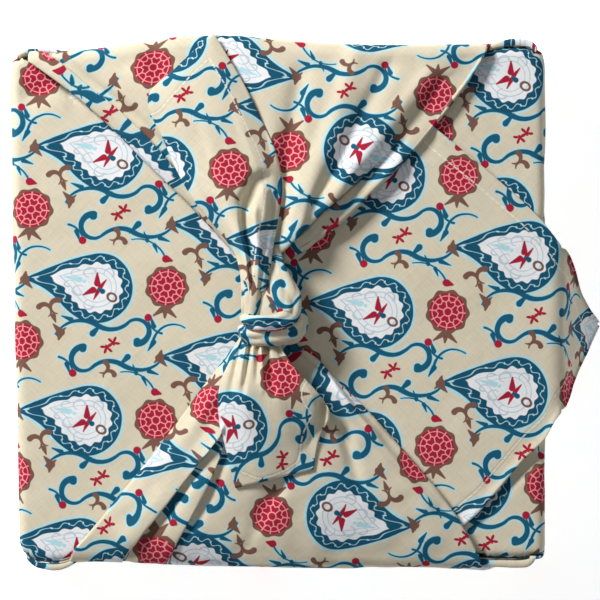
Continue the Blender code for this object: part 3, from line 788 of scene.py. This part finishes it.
FAR_CREASES = table(Crease,
    (((-111, 127), (-90, 108.5), (-77, 98), (-62, 83.5), (-39, 58), (-23, 38)), -2.4, -2.6, 2.6, 2.6),
    (((-2, 24), (2, 60), (5, 83), (10, 112)), -5, -1.8, 4.4, 5),
    (((2, 24), (14, 60), (30, 98), (36, 120)), 3.4, 1.8, 5, 6),
    (((3, 23), (24, 62), (43, 98), (52, 116)), -2.6, -2, 3.4, 4.6),
    (((5, 23), (33, 60), (56, 92), (72, 112)), 1.6, 1.2, 3.4, 4.6),
    (((6, 24), (38, 58), (60, 84), (80, 108)), -3.6, -1.8, 3.4, 5),
    (((44, 60), (62, 78), (80, 98), (94, 116)), -1.6, -1.8, 9, 9),
    (((-4.4, 17.6), (6.4, 30), (13, 35.4), (22.4, 45), (41, 61), (60, 78)), -7.5, -1.4, 1.5, 1.3),
    (((0, 17), (11.6, 27.8), (21, 35.8), (33, 46), (58, 69)), 4.2, 1.8, 3.6, 2),
    (((0, 26), (8, 36), (20, 50), (36, 70)), 2.4, 1.2, 3.4, 3.4),
    (((-16, 26), (-40, 70), (-70, 112)), 1.8, 1.4, 5, 6),
    (((-62, 124), (-56, 104), (-58, 92)), -1.6, -1.2, 4, 5),
    (((-60, 112), (-84, 120)), -0.9, -0.4, 5, 5),
)
NEAR_LAPS = table(Lap,
    (((-77, -125), (-69, -113.2), (-60.3, -102.4), (-50.5, -89.7), (-40.7, -77), (-30.9, -64.2), (-24, -50)),
     2.8, 3.4, 3.4, 4.6, 10, 22),
    (((-56, -128), (-51, -116), (-46.6, -108.3), (-40.7, -98), (-33.3, -82.8), (-26, -64)),
     2.4, 1.8, 3, 4.4, 8, 16),
)
NEAR_CREASES = table(Crease,
    (((-22, -54), (-28.5, -65), (-38, -78.5), (-48, -91), (-58, -104), (-75, -123.5)), -2, -1.6, 2.6, 2.6),
    (((-23, -66), (-31, -84), (-38, -99), (-44, -110)), -2, -0.8, 2.8, 2.8),
    (((0, -88), (-7.8, -100.5), (-16.2, -116.6)), -2.2, -0.8, 3, 5),
    (((6, -20), (14, -31), (22, -43), (31, -60), (40, -90)), -10, -0.8, 3, 3.6),
    (((11, -23), (20, -33.5), (29.5, -45), (51, -70), (74, -97)), 5.6, 1.2, 2.6, 2.2),
    (((-26, -36), (-46, -62), (-76, -98)), 1.8, 0.8, 4, 5),
    (((-22, -40), (-38, -66), (-56, -90)), -1.6, -0.4, 2.6, 3.6),
)


FLAP_ROWS, FLAP_COLUMNS, ROLL_STEPS = 78, 156, 7
UPPER = slice(7, -7)  # of a row's points, all but the three folded under and the rolls' lower halves
MIDDLE = slice(11, -11)  # and all but those and the rolls' upper halves
MIDDLE_X = -3  # the cloth's middle line on the flaps
KNOT_X = -8
TUCKED_WALL, TUCKED_TOP = 0.08, 0.48  # shares of the width that are folded under at each side
LEAST_ABOVE = 0.6  # how far the top stays above what is folded under it


def gathered_flap(cloth, end, sections, creases, laps, seed):
    """An end wall that turns over the parcel's edge and gathers to the knot."""
    first = sections[0]
    away = math.copysign(1, first.left_y)
    rest = LEFT_TOP + LAYER + 2 * first.roll
    wall_y = away * END_WALL_Y
    profile = ((away * END_WALL_START, RIM), (wall_y, RIM), (wall_y, rest), (first.left_y, rest))
    path, tangents, _ = rounded_path(profile, (EDGE_ROUND, END_ROUND), (10, 2.4, 2))
    grid = []
    for (y, z), (ty, tz) in zip(path[:-4], tangents[:-4]):
        normal = np.array([0, abs(tz) * away, -ty * away])
        risen = np.clip((z - RIM) / (rest - RIM), 0, 1)
        over_edge = np.clip((z - rest + END_ROUND) / END_ROUND, 0, 1)
        row = Section(-END_WALL_FOOT + (first.left_x + END_WALL_FOOT) * risen, y,
                      END_WALL_FOOT + (first.right_x - END_WALL_FOOT) * risen, y,
                      first.lift * over_edge, first.roll)
        grid.append(flap_row(row, z, normal, TUCKED_WALL))
    up = np.array([0, 0, 1])
    for values in through(sections, np.linspace(0, 1, FLAP_ROWS)):
        row = Section(*values)
        grid.append(flap_row(row, LEFT_TOP + LAYER + 2 * row.roll, up, TUCKED_TOP))
    grid = np.array(grid)

    # lengths on the flat cloth: across each row from the parcel's middle line, and along the middle
    across = np.array([arc_lengths(row) for row in grid])
    middle = np.array([np.interp(MIDDLE_X, row[MIDDLE, 0], s[MIDDLE]) for row, s in zip(grid, across)])
    centre = grid[:, grid.shape[1] // 2]
    along = arc_lengths(centre) + END_WALL_START
    slope = grid[..., 1] - centre[:, None, 1]
    v = away * (along[:, None] - away * slope * smooth(150, 190, along)[:, None])
    flat = stacked(end.print_right - (across - middle[:, None]), v)

    shown = np.zeros(grid.shape[1])
    shown[UPPER] = 1
    inner = smooth(0, 9, np.minimum(across, across[:, -1:] - across) - UNDERLAP - 4) * shown
    top = smooth(LEFT_TOP - 4, LEFT_TOP + 2, grid[..., 2])
    x, y, z = grid[..., 0], grid[..., 1], grid[..., 2]
    push = (creased(x, y, creases) * top * (0.25 + 0.75 * inner)
            + ripples(x, y, 46, seed) * 0.35 * inner + ripples(x, y, 19, seed + 1) * 0.14 * inner)
    push += (1 - top) * inner * (ripples(x, z * 1.5, 70, seed + 2) * 0.7)
    # fine pleats that run out from the knot
    knot_angle = np.arctan2(x - KNOT_X, np.abs(y) + 1e-6)
    near = smooth(150, 20, np.hypot(x - KNOT_X, y))
    push += top * inner * near * 0.45 * np.sin(knot_angle * 34 + ripples(x, y, 60, seed + 4) * 1.6)
    push *= shown
    # the end wall bulges where the tail pulls over its edge
    out = end.bulge_out * ridge(x - end.bulge_x, end.bulge_width) * smooth(20, LEFT_TOP, z)
    out = out * smooth(70, 118, np.abs(y)) * inner
    grid = grid - normals_of(grid) * away * push[..., None]
    grid[..., 1] += away * out
    raised = np.maximum(grid[:, UPPER, 2], LEFT_TOP + LAYER + LEAST_ABOVE)
    grid[:, UPPER, 2] = np.where(top[:, UPPER] > 0.99, raised, grid[:, UPPER, 2])
    grid, flat = lapped(grid, flat, laps, top * inner)
    cloth.add(grid, flat)
    return grid


def flap_row(row, height, normal, tucked):
    """One line across a flap: a rolled side edge, the middle, the other rolled edge."""
    left = np.array([row.left_x, row.left_y, height])
    right = np.array([row.right_x, row.right_y, height])
    width, across = np.linalg.norm(right - left), unit(right - left)
    edge = rolled_edge(row.roll, UNDERLAP * min(1, width / FULL_UNDERLAP_WIDTH), tucked * width)
    line = [left + across * (row.roll - out) - normal * down for out, down in reversed(edge)]
    share = np.linspace(0, 1, FLAP_COLUMNS)
    crown = row.lift * (1 - np.abs(2 * share - 1) ** FLAP_CROWN)
    over = np.outer(share * (width - 2 * row.roll), across) + np.outer(crown, normal)
    line += list(left + across * row.roll + over)
    line += [right - across * (row.roll - out) - normal * down for out, down in edge]
    return line


def rolled_edge(radius, underlap, tucked):
    """Steps round a side edge and under the flap: how far out and how far down each lies."""
    angles = [math.pi * step / ROLL_STEPS for step in range(1, ROLL_STEPS + 1)]
    points = [(radius * math.sin(angle), radius * (1 - math.cos(angle))) for angle in angles]
    return points + [(-reach, 2 * radius) for reach in (underlap / 2, underlap, max(underlap, tucked) + 0.5)]


# ---- corners: the spare cloth from a side wall, round the corner, behind the end wall
EAR_HEIGHTS = np.linspace(RIM + 0.5, LEFT_TOP - 3, 14)
EAR_ROLL, EAR_SPREAD = 1.1, 0.5  # the radius of its rolled rim, and how much that grows as it opens
PLAN_ROUND = 12  # rounding of the parcel's upright corners
# how far out the side flap's end comes at a corner, and how far beyond it the ear's fold opens,
# at these places from the middle
CORNER_AT = (90, 99, 106, 114, 122, 127, 131)
Corner = namedtuple("Corner", "away side flap_out opens")
CORNERS = table(Corner,
    (1, -1, 4.2, (0, 0, 0.2, 0.4, 0.4, 0.2, -0.6)),
    (1, 1, 3, (0, 0.4, 1.3, 2.8, 2.4, 1.4, -0.4)),
    (-1, -1, 5.2, (0, 1, 2.6, 3.2, 1.8, 0.2, -0.8)),
    (-1, 1, -0.6, (1.2, 2.4, 3.2, 3.6, 3.4, 2.2, 0)),
)


def corner_out(x, away):
    """How much further out the side flaps end near a corner."""
    return sum(corner.flap_out * smooth(92, 112, corner.side * x) for corner in CORNERS if corner.away == away)


def pocket_ear(cloth, corner):
    """The cloth folded in behind an end wall, with its double rim, and round on to the side wall."""
    side_x = HALF_X + 0.6
    inner_y = POCKET_Y - LAYER / 2
    corners = ((side_x - 8, inner_y), (EAR_REACH, inner_y), (EAR_REACH, POCKET_Y), (side_x, POCKET_Y),
               (side_x, POCKET_Y - EAR_SIDE))
    plan, _, lengths = rounded_path(corners, (0, 0, 3), (8, 1, 1.6, 3))
    outer = np.arange(len(plan)) > np.argmin(plan[:, 0])
    x = plan[:, 0]
    opens = np.interp(x, CORNER_AT, corner.opens) * outer
    out = corner_out(corner.side * x, corner.away)
    round_corner = np.clip((POCKET_Y - plan[:, 1]) / 6, 0, 1) * (x > side_x - 4)
    top = (LEFT_TOP if corner.side < 0 else RIGHT_TOP) - 0.1
    turn = np.linspace(0, math.pi, 9)
    profile = [(0, height) for height in EAR_HEIGHTS]
    profile += [(-(1 - math.cos(a)) / 2, top - EAR_ROLL + EAR_ROLL * math.sin(a)) for a in turn]
    profile += [(-1, top - EAR_ROLL - 5)]
    across = (2 * EAR_ROLL + EAR_SPREAD * opens) * outer * (1 - round_corner)
    grid, flat = [], []
    for inward, height in profile:
        leans = (min(height, top) / top) ** 2
        y = plan[:, 1] + (opens + out) * leans * (1 - 0.8 * round_corner) + inward * across
        z = height * (1 - 0.2 * round_corner)
        x_here = x + inward * 2 * EAR_ROLL * round_corner
        grid.append(stacked(corner.side * x_here, corner.away * y, z))
        flat.append(stacked(-corner.side * (lengths + 66), corner.away * (128 + z - inward)))
    cloth.add(np.array(grid), np.array(flat))


def round_plan(points):
    """The parcel's upright corners are round, seen from above."""
    points = points.copy()
    x, y = points[..., 0], points[..., 1]
    a = (np.abs(x) - (HALF_X + 0.8 - PLAN_ROUND)) / PLAN_ROUND
    b = (np.abs(y) - (END_WALL_Y + 0.6 - PLAN_ROUND)) / PLAN_ROUND
    corner = (a > 0) & (b > 0) & (np.abs(x) < HALF_X + 4)
    far = np.maximum(a, b) / np.maximum(np.hypot(a, b), 1e-9)
    points[..., 0] = np.where(corner, x + np.sign(x) * (a * far - a) * PLAN_ROUND, x)
    points[..., 1] = np.where(corner, y + np.sign(y) * (b * far - b) * PLAN_ROUND, y)
    return points


# ---- tails: one row for each section, from the knot to the free end
# its two ends, the height of its middle, and how much lower its two ends lie
Tail = namedtuple("Tail", "left_x left_y right_x right_y height drop_left drop_right")
FAR_TAIL = table(Tail,
    (-17.6, -8, -8.6, -8, 71, 5, 5),
    (-18.6, -1, -7.6, -1, 76.6, 6.5, 6.5),
    (-18.6, 9, -5.4, 9.5, 78.4, 8, 8),
    (-19.6, 18, -4.4, 19, 77.4, 8, 9),
    (-22.6, 27, -3.2, 29, 75.4, 8, 9.5),
    (-33, 41, -0.5, 45, 72.6, 6.5, 9),
    (-41, 51, 1, 58, 71, 5.5, 8.5),
    (-48, 63, -1.5, 73, 69, 5, 7),
    (-55, 79, -7, 86, 67, 4.5, 5.5),
    (-63.5, 102, -17, 107, 64, 3, 3),
    (-50, 117, -25, 121, 61.5, 1.8, 1.8),
    (-34, 132.5, -32, 133, 58.5, 0.3, 0.3),
)
NEAR_TAIL = table(Tail,
    (-16, -9.5, -4.5, -9.5, 66, 2.5, 2.5),
    (-20.5, -20.5, 1.5, -22, 71.5, 5, 2.6),
    (-27.5, -34, 8.7, -31.5, 74, 6, 2.6),
    (-29.8, -46, 18.6, -42.5, 74, 7, 2.8),
    (-28.5, -60.5, 24.2, -52.5, 71, 6.5, 4.5),
    (-25.5, -72, 19, -64, 68, 4.5, 4.5),
    (-21.5, -88.5, 16, -79, 64, 2, 2),
)
FAR_TAIL_CREASES = table(Crease,
    (((-17.2, -6), (-16.9, 10), (-20, 24), (-32, 48), (-44, 68)), -2.2, -0.4, 1, 1.8),
    (((-14.4, -6), (-13.4, 8), (-14.6, 24), (-18.2, 42), (-16, 54)), -2.6, -7, 1.1, 3.4),
    (((-11.2, -6), (-9.6, 8), (-8, 22), (-7.8, 38)), -2.4, -1.6, 1, 1.6),
    (((-16, 50), (-10, 60), (-4, 59)), -7.4, -7.4, 3.4, 2),
    (((-7, 28), (-4, 46), (-3, 58)), -1.6, -4, 1.6, 2),
    (((-16, 14), (-20, 34), (-30, 66), (-38, 92)), 1.4, 0.5, 2.6, 5),
    (((-11.8, 16), (-11.6, 34), (-12, 46)), 1.4, 1.8, 2, 2.2),
    (((-7, 14), (-6, 34), (-9, 62), (-20, 92)), 1, 0.8, 2.4, 4),
    (((-46, 108), (-38, 90), (-34, 70)), -0.5, -0.3, 4, 3),
)
NEAR_TAIL_CREASES = table(Crease,
    (((-17, -15), (-20.6, -28), (-24, -44)), -6, -1, 1.2, 2),
    (((-14, -15), (-15.8, -28), (-17.5, -42)), -7, -0.8, 1, 1.5),
    (((-10.8, -15), (-10.6, -28), (-11, -36)), -6, -0.6, 1, 1.3),
    (((-7.4, -15), (-5, -27), (-2, -42)), -7, -1, 1, 2),
    (((-4.4, -15), (1, -24), (6, -34)), -5, -0.6, 0.9, 1.4),
    (((-15.6, -15), (-18.2, -36)), 1.8, 0.5, 1.2, 1.8),
    (((-9, -15), (-7.8, -40)), 1.8, 0.7, 1.2, 2.2),
    (((-4, -17), (3.6, -27), (11.4, -37.2), (16.2, -44.1)), 1.6, 1.6, 2, 1.4),
    (((-2, -42), (3, -56), (8, -70)), 0.8, 0.5, 4, 4),
    (((-17, -44), (-15, -60), (-12, -78)), 0.7, 0.4, 4, 4),
    (((21, -47), (20.5, -56), (17, -68)), -4.6, -1, 1.5, 2.2),
    (((23.6, -48), (23, -57), (19, -67)), 1.6, 0.6, 1.2, 1.2),
)
TAIL_STEPS = 88
TAIL_GAP = 1.5  # a tail lies this far above the flap below it
TAIL_FREE = 0.14  # from this share of its length on
RIM_OUT, RIM_DOWN = 0.35, 0.9


def tail_sheet(cloth, sections, creases, below, flat_of):
    """A tail spread over the flap below it."""
    place = np.linspace(0, 1, TAIL_STEPS)
    left_x, left_y, right_x, right_y, height, drop_left, drop_right = through(sections, place).T[..., None]
    share = place[None, :]
    x, y = left_x + (right_x - left_x) * share, left_y + (right_y - left_y) * share
    drop = np.where(share < 0.5, drop_left, drop_right)
    z = height - np.maximum(0, drop) * np.abs(2 * share - 1) ** TAIL_CROWN
    z = z + creased(x, y, creases) + ripples(x, y, 24, 31) * 0.25 + ripples(x, y, 11, 32) * 0.08
    under = np.array([[height_of(below, a, b) for a, b in zip(*row)] for row in zip(x, y)])
    z = np.where(place[:, None] > TAIL_FREE, np.maximum(z, under + TAIL_GAP), z)
    grid = stacked(x, y, z)
    # its free edges turn down a little, so that they show the hem's thickness
    up = np.zeros(grid.shape) + (0, 0, 1)
    grid, flat, hem = with_rim(grid, *flat_of(grid), up, RIM_OUT, RIM_DOWN)
    last = grid[-1:] + unit(grid[-1:] - grid[-2:-1]) * RIM_OUT - (0, 0, RIM_DOWN)
    cloth.add(*(np.concatenate(pair) for pair in ((grid, last), (flat, flat[-1:]), (hem, hem[-1:]))))


def surface_of(grid):
    """A grid's faces, to measure heights on."""
    return BVHTree.FromPolygons(grid.reshape(-1, 3).tolist(), quads_of(grid).tolist())


def height_of(surface, x, y):
    hit = surface.ray_cast((x, y, 200), (0, 0, -1))[0]
    return hit.z if hit else LEFT_TOP


def far_tail_flat(grid):
    """The far tail ends in the cloth's far corner."""
    x, y = grid[..., 0], grid[..., 1]
    tip = FAR_TAIL[-1]
    flat = stacked(x - tip.left_x, CLOTH_CORNER + y - tip.left_y - 1)
    right, right_along, _ = nearest_on([(row.right_x, row.right_y) for row in FAR_TAIL[::-1]], x, y)
    left, left_along, _ = nearest_on([(row.left_x, row.left_y) for row in FAR_TAIL[:-4:-1]], x, y)
    right, left = np.abs(right), np.abs(left)
    return flat, stacked(np.minimum(right, left), np.where(right < left, right_along, left_along))


def near_tail_flat(grid):
    """The near tail ends near the cloth's near corner, in a hem along its bottom and right side."""
    x, y = grid[..., 0], grid[..., 1]
    corner = NEAR_TAIL[-1]
    dx, dy = x - corner.right_x, y - corner.right_y
    flat = stacked((dx + dy) / math.sqrt(2) + 52, (dy - dx) / math.sqrt(2) - CLOTH_CORNER + 14)
    edge = [(corner.left_x, corner.left_y), (-10, -92), (4, -88)]
    edge += [(row.right_x, row.right_y) for row in NEAR_TAIL[:-5:-1]]
    rim, rim_along, _ = nearest_on(edge, x, y)
    return flat, stacked(np.minimum(np.abs(rim), NO_HEM), rim_along)


# ---- knot: each strand is a bunched length of cloth, a row for each station on its middle line
Strand = namedtuple("Strand", "x y z wide high")
NECK = table(Strand,
    (-12.3, 34, 61, 7, 3.6),
    (-12.2, 25, 66, 7.2, 4.4),
    (-12.1, 15, 69.6, 6.8, 5),
    (-12.6, 6, 71.4, 6.2, 5),
    (-12.8, -2, 70, 5.2, 4.8),
    (-13.4, -8, 66.5, 5, 4.2),
    (-13.4, -13, 62, 4.8, 4),
)
UPPER_BAND = table(Strand,
    (-3, 27, 60.5, 3.4, 3.6),
    (-2, 19, 65, 5, 4.6),
    (0.2, 10.5, 68.6, 7, 5.6),
    (2.6, 2.5, 71, 8.2, 6),
    (4.2, -4.8, 72.4, 5.4, 6),
    (-2, -8, 75, 4, 5),
    (-9.6, -8.2, 75.2, 3.9, 5),
    (-14.2, -7.8, 71.2, 3.9, 4.8),
    (-15.2, -6.8, 64, 4, 4.6),
)
LOWER_BAND = table(Strand,
    (-16.6, -12.4, 61, 4.4, 4.4),
    (-15.4, -14.4, 67.8, 3.9, 4.8),
    (-8.5, -14.9, 71.2, 3.9, 5.2),
    (0, -14.6, 70.6, 4.1, 5.4),
    (6.7, -12.8, 67.2, 5, 5.4),
    (8, -6.4, 61.5, 5.6, 5),
    (3, 2, 58.5, 5, 4.2),
)
HEART = Strand(-3.6, 0.6, 65.5, 12, 9.2)
HEART_LENGTH = 15
STRAND_SIDES, STRAND_STEPS = 52, 58
HEART_SIDES, HEART_RINGS = 36, 18


def strand(cloth, rows, flat_at, phase, seed):
    """A bunched strand: a tube of uneven, grooved oval sections."""
    stations = through(rows, np.linspace(0, 1, STRAND_STEPS))
    tangents, lengths = unit(np.gradient(stations[:, :3], axis=0)), arc_lengths(stations[:, :3])
    angle = np.linspace(0, 2 * math.pi, STRAND_SIDES)
    across = np.cross([0, 0, 1], tangents[0])
    grid, flat = [], []
    for station, tangent, here in zip(stations, tangents, lengths):
        across = unit(across - tangent * (across @ tangent))
        over = np.cross(tangent, across)
        twist = phase + here * 0.022
        dents = 0.5 + 0.5 * np.cos(3 * (angle + twist) + 0.5 * np.sin(here * 0.21 + seed))
        uneven = ripples(angle * 6, here + angle * 0, 9, seed) * 0.18 * np.sin(angle / 2) ** 0.5
        fine = 0.5 + 0.5 * np.cos(7 * (angle - twist * 2.3) + 1.7 * np.sin(here * 0.16 + 2 * seed))
        groove = 1 - 0.21 * dents ** 3 - 0.07 * fine ** 3 + 0.05 * uneven
        grid.append(station[:3] + np.outer(np.cos(angle) * station[3] * groove, across)
                    + np.outer(np.sin(angle) * station[4] * groove, over))
        around = angle * (station[3] + station[4]) / 2
        flat.append(stacked(flat_at[0] + around, flat_at[1] + here))
    cloth.add(np.array(grid), np.array(flat))


def knot_heart(cloth):
    """The cloth packed inside the knot."""
    angle = np.linspace(0, 2 * math.pi, HEART_SIDES)
    grid, flat = [], []
    for down in np.linspace(0.02, math.pi - 0.02, HEART_RINGS):
        x = HEART.x + HEART.wide * math.sin(down) * np.cos(angle)
        y = HEART.y + HEART_LENGTH * math.sin(down) * np.sin(angle)
        grid.append(stacked(x, y, HEART.z + HEART.high * math.cos(down)))
        flat.append(stacked(x + 20, y + 300))
    cloth.add(np.array(grid)[::-1], np.array(flat)[::-1])


# ---- the whole cloth
cloth = Cloth()
side_band(cloth)
far_flap = gathered_flap(cloth, FAR_END, FAR_FLAP, FAR_CREASES, FAR_LAPS, 11)
near_flap = gathered_flap(cloth, NEAR_END, NEAR_FLAP, NEAR_CREASES, NEAR_LAPS, 21)
for corner in CORNERS:
    pocket_ear(cloth, corner)
tail_sheet(cloth, FAR_TAIL, FAR_TAIL_CREASES, surface_of(far_flap), far_tail_flat)
tail_sheet(cloth, NEAR_TAIL, NEAR_TAIL_CREASES, surface_of(near_flap), near_tail_flat)
knot_heart(cloth)
strand(cloth, NECK, (-8, 300), 0.6, 1)
strand(cloth, UPPER_BAND, (40, 210), 0.2, 2)
strand(cloth, LOWER_BAND, (22, 330), 1.1, 3)
cloth.points = [lean_parcel(round_plan(points)) for points in cloth.points]
wrap = cloth.build("wrap_printed_cloth")

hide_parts("wrap_cloth")
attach(wrap, "root")
